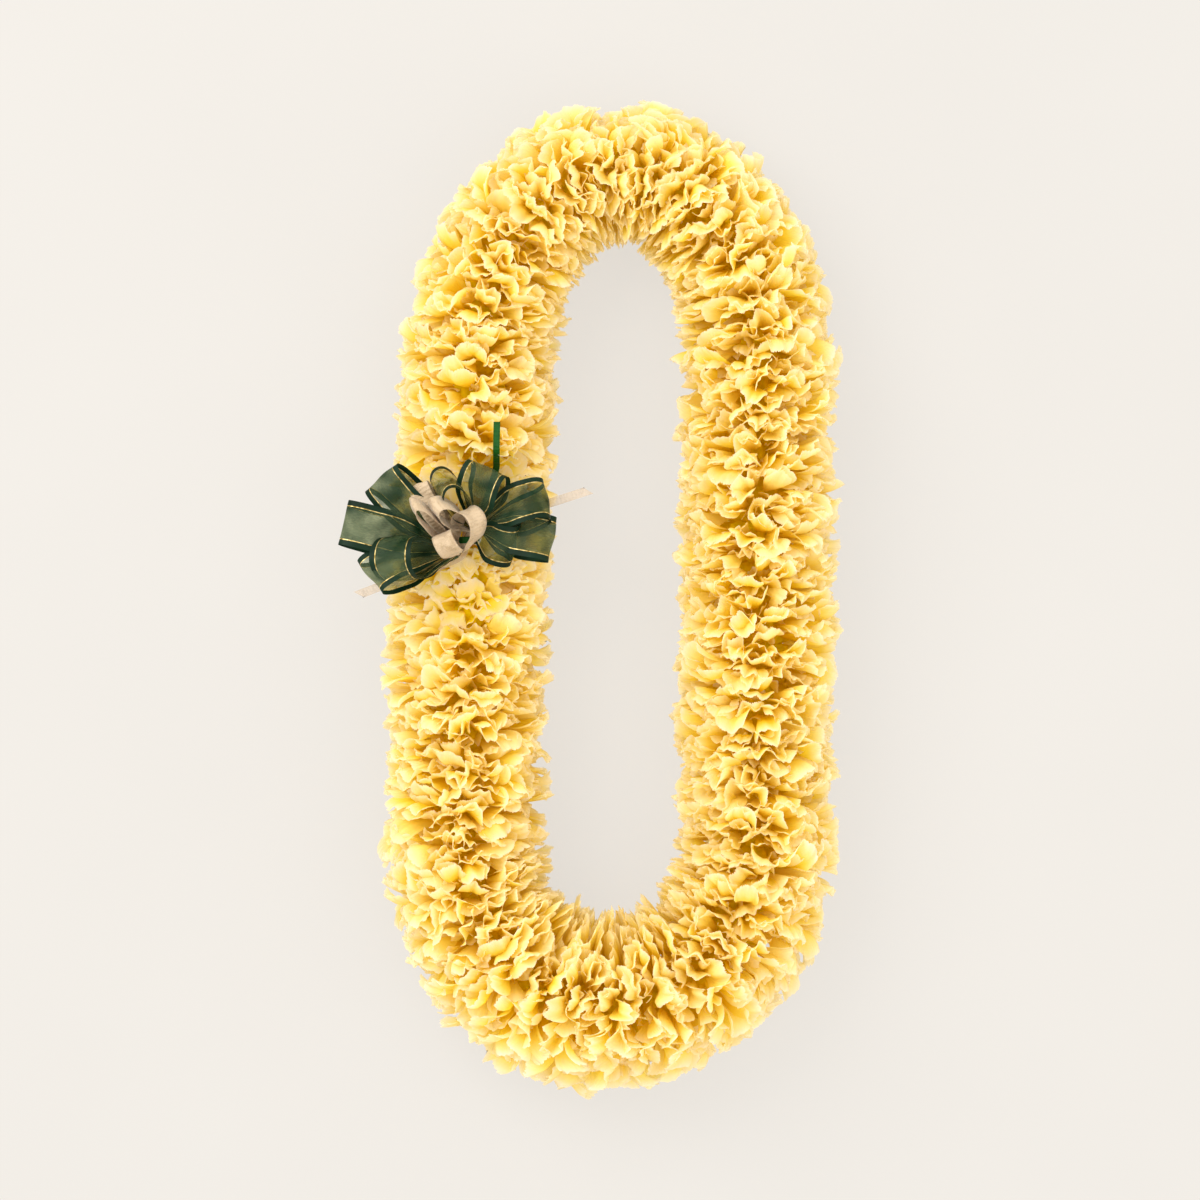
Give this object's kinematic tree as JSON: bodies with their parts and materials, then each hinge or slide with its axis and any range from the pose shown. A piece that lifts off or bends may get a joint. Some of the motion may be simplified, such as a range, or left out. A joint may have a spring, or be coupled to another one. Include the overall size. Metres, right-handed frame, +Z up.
{
  "type": "fresh flower lei",
  "caption": "Closed garland of pale yellow carnations strung on a thread, laid flat as a long loop, with a green and cream ribbon bow on its left strand.",
  "frame": {"origin": "centre of the bounding box in plan, on the surface that the lei lies on", "axes": "+Y along the loop towards the end that hangs at the neck, +X to the right strand seen from above, +Z up from the surface"},
  "size_m": [0.2574, 0.5116, 0.098],
  "materials": {
    "petals": "matte fresh petals, pale cream at the frilled edges and deeper yellow inside",
    "string": "cotton string",
    "green_ribbon": "sheer organza with satin edges and fine gold threads",
    "cream_ribbon": "pearl satin",
    "tie_ribbon": "green satin"
  },
  "bodies": {
    "root": {"bloom_01": "petals", "bloom_02": "petals", "bloom_03": "petals", "bloom_04": "petals", "bloom_05": "petals", "bloom_06": "petals", "bloom_07": "petals", "bloom_08": "petals", "bloom_09": "petals", "bloom_10": "petals", "bloom_11": "petals", "bloom_12": "petals", "bloom_13": "petals", "bloom_14": "petals", "bloom_15": "petals", "bloom_16": "petals", "bloom_17": "petals", "bloom_18": "petals", "bloom_19": "petals", "bloom_20": "petals", "bloom_21": "petals", "bloom_22": "petals", "bloom_23": "petals", "bloom_24": "petals", "bloom_25": "petals", "bloom_26": "petals", "bloom_27": "petals", "bloom_28": "petals", "bloom_29": "petals", "bloom_30": "petals", "bloom_31": "petals", "bloom_32": "petals", "bloom_33": "petals", "bloom_34": "petals", "bloom_35": "petals", "bloom_36": "petals", "bloom_37": "petals", "bloom_38": "petals", "bloom_39": "petals", "bloom_40": "petals", "bloom_41": "petals", "bloom_42": "petals", "bloom_43": "petals", "bloom_44": "petals", "bloom_45": "petals", "bloom_46": "petals", "bloom_47": "petals", "bloom_48": "petals", "string": "string", "bow_green_ribbon": "green_ribbon", "bow_cream_ribbon": "cream_ribbon", "bow_cream_tails": "cream_ribbon", "bow_tie": "tie_ribbon"}
  },
  "joints": []
}
